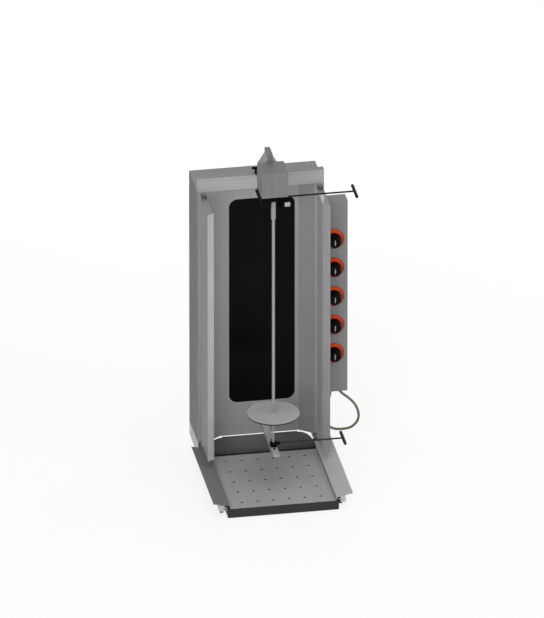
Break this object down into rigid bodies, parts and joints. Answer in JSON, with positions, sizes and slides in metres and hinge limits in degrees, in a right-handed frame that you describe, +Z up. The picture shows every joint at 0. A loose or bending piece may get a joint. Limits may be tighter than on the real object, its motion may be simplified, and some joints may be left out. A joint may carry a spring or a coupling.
{
  "type": "vertical roasting grill",
  "caption": "Free-standing electric vertical grill with a driven upright spit, swinging side doors, glass-fronted burner, knob column and a sliding drip tray.",
  "frame": {"origin": "middle of the footprint on the floor, cord left out", "axes": "+Z up, -Y to the front where the tray pulls out, +X to the side with the control box"},
  "size_m": [0.5983, 0.6236, 1.2546],
  "materials": {
    "sheet_steel": "satin brushed stainless sheet, vertical grain",
    "door_steel": "satin brushed stainless sheet",
    "light_steel": "bright brushed stainless steel",
    "grey_steel": "plain stainless sheet",
    "pan_steel": "dark steel pan, satin",
    "black_metal": "black satin paint",
    "handle_steel": "dark turned steel",
    "plated_steel": "zinc-plated steel",
    "gear_steel": "machined steel",
    "motor_case": "grey painted motor case",
    "bush_brass": "turned brass",
    "black_glass": "black glass-ceramic, polished",
    "gasket_fibre": "woven fibre seal",
    "heater_tray": "dull aluminised tray",
    "insulation": "pressed fibre board",
    "knob_black": "glossy black plastic",
    "bezel_orange": "glossy orange-red plastic ring",
    "regulator_plastic": "dark moulded plastic",
    "terminal_plastic": "cream moulded plastic",
    "gland_plastic": "black moulded plastic",
    "cable_sheath": "olive-beige cable sheath",
    "foot_rubber": "black rubber"
  },
  "bodies": {
    "cabinet": {"arm_pedestal": "black_metal", "back_panel": "sheet_steel", "base_rail_left": "light_steel", "base_rail_right": "light_steel", "burner_brackets": "plated_steel", "cabinet_screws": "light_steel", "cable_glands": "gland_plastic", "control_box_front": "sheet_steel", "control_box_shell": "sheet_steel", "drip_flap_left": "grey_steel", "drip_flap_right": "light_steel", "energy_regulators": "regulator_plastic", "fascia": "sheet_steel", "feed_cable": "cable_sheath", "front_reflector": "sheet_steel", "glass_clips": "plated_steel", "glass_gasket": "gasket_fibre", "glass_panel": "black_glass", "hinge_brackets": "grey_steel", "insulation_board": "insulation", "knob_bezels": "bezel_orange", "lower_arm": "light_steel", "motor_arm": "black_metal", "name_plate": "light_steel", "radiant_heaters": "heater_tray", "rear_cross_member": "grey_steel", "rubber_feet": "foot_rubber", "side_panel_left": "sheet_steel", "side_panel_right": "sheet_steel", "terminal_block": "terminal_plastic", "top_panel": "sheet_steel"},
    "left_door": {"left_door_panel": "door_steel"},
    "right_door": {"right_door_panel": "door_steel"},
    "carriage": {"carriage_block": "black_metal", "carriage_keepers": "black_metal", "stop_plate": "light_steel", "motor_housing": "sheet_steel", "neck_hood": "sheet_steel", "gear_plate": "plated_steel", "drive_motor": "motor_case"},
    "motor_rotor": {"motor_pinion": "gear_steel"},
    "spit": {"output_gear": "gear_steel", "drive_shaft": "plated_steel", "coupling_sleeve": "light_steel", "spit_rod": "light_steel", "meat_disc": "light_steel"},
    "top_clamp": {"top_clamp_handle": "handle_steel"},
    "lower_bearing": {"bearing_block": "black_metal", "bearing_bush": "bush_brass", "bearing_clamp_foot": "grey_steel"},
    "lower_clamp": {"lower_clamp_handle": "handle_steel"},
    "drip_tray": {"drip_pan": "pan_steel", "pan_back": "pan_steel"},
    "tray_plate": {"perforated_plate": "grey_steel"},
    "control_1": {"knob_1": "knob_black"},
    "control_2": {"knob_2": "knob_black"},
    "control_3": {"knob_3": "knob_black"},
    "control_4": {"knob_4": "knob_black"},
    "control_5": {"knob_5": "knob_black"}
  },
  "joints": [
    {"name": "left_door_hinge", "type": "hinge", "parent": "cabinet", "child": "left_door", "pos_m": [-0.23275, 0.1052, 0.553], "axis": [0, 0, 1], "range_deg": [-120, 85]},
    {"name": "right_door_hinge", "type": "hinge", "parent": "cabinet", "child": "right_door", "pos_m": [0.17325, 0.1052, 0.553], "axis": [0, 0, 1], "range_deg": [-85, 50]},
    {"name": "carriage_slide", "type": "slide", "parent": "cabinet", "child": "carriage", "axis": [0, 1, 0], "range_m": [-0.025, 0.055]},
    {"name": "bearing_slide", "type": "slide", "parent": "cabinet", "child": "lower_bearing", "axis": [0, 1, 0], "range_m": [-0.025, 0.055]},
    {"name": "spit_turn", "type": "hinge", "parent": "carriage", "child": "spit", "pos_m": [-0.02975, -0.1108, 1.1], "axis": [0, 0, 1], "continuous": true},
    {"name": "motor_turn", "type": "hinge", "parent": "carriage", "child": "motor_rotor", "pos_m": [-0.02975, -0.0772, 1.15], "axis": [0, 0, 1], "continuous": true},
    {"name": "top_clamp_turn", "type": "hinge", "parent": "carriage", "child": "top_clamp", "pos_m": [0.07025, -0.0968, 1.1138], "axis": [1, 0, 0], "range_deg": [0, 360]},
    {"name": "lower_clamp_turn", "type": "hinge", "parent": "lower_bearing", "child": "lower_clamp", "pos_m": [0.07025, -0.1108, 0.173], "axis": [1, 0, 0], "range_deg": [0, 360]},
    {"name": "tray_slide", "type": "slide", "parent": "cabinet", "child": "drip_tray", "axis": [0, -1, 0], "range_m": [0, 0.4]},
    {"name": "plate_lift", "type": "slide", "parent": "drip_tray", "child": "tray_plate", "axis": [0, 0, 1], "range_m": [0, 0.035]},
    {"name": "control_1_turn", "type": "hinge", "parent": "cabinet", "child": "control_1", "pos_m": [0.22525, 0.1192, 0.818], "axis": [0, -1, 0], "range_deg": [-270, 0]},
    {"name": "control_2_turn", "type": "hinge", "parent": "cabinet", "child": "control_2", "pos_m": [0.22525, 0.1192, 0.708], "axis": [0, -1, 0], "range_deg": [-270, 0]},
    {"name": "control_3_turn", "type": "hinge", "parent": "cabinet", "child": "control_3", "pos_m": [0.22525, 0.1192, 0.598], "axis": [0, -1, 0], "range_deg": [-270, 0]},
    {"name": "control_4_turn", "type": "hinge", "parent": "cabinet", "child": "control_4", "pos_m": [0.22525, 0.1192, 0.488], "axis": [0, -1, 0], "range_deg": [-270, 0]},
    {"name": "control_5_turn", "type": "hinge", "parent": "cabinet", "child": "control_5", "pos_m": [0.22525, 0.1192, 0.378], "axis": [0, -1, 0], "range_deg": [-270, 0]}
  ],
  "couplings": [
    {"joint": "bearing_slide", "follows": "carriage_slide", "ratio": 1},
    {"joint": "motor_turn", "follows": "spit_turn", "ratio": -2.5}
  ]
}
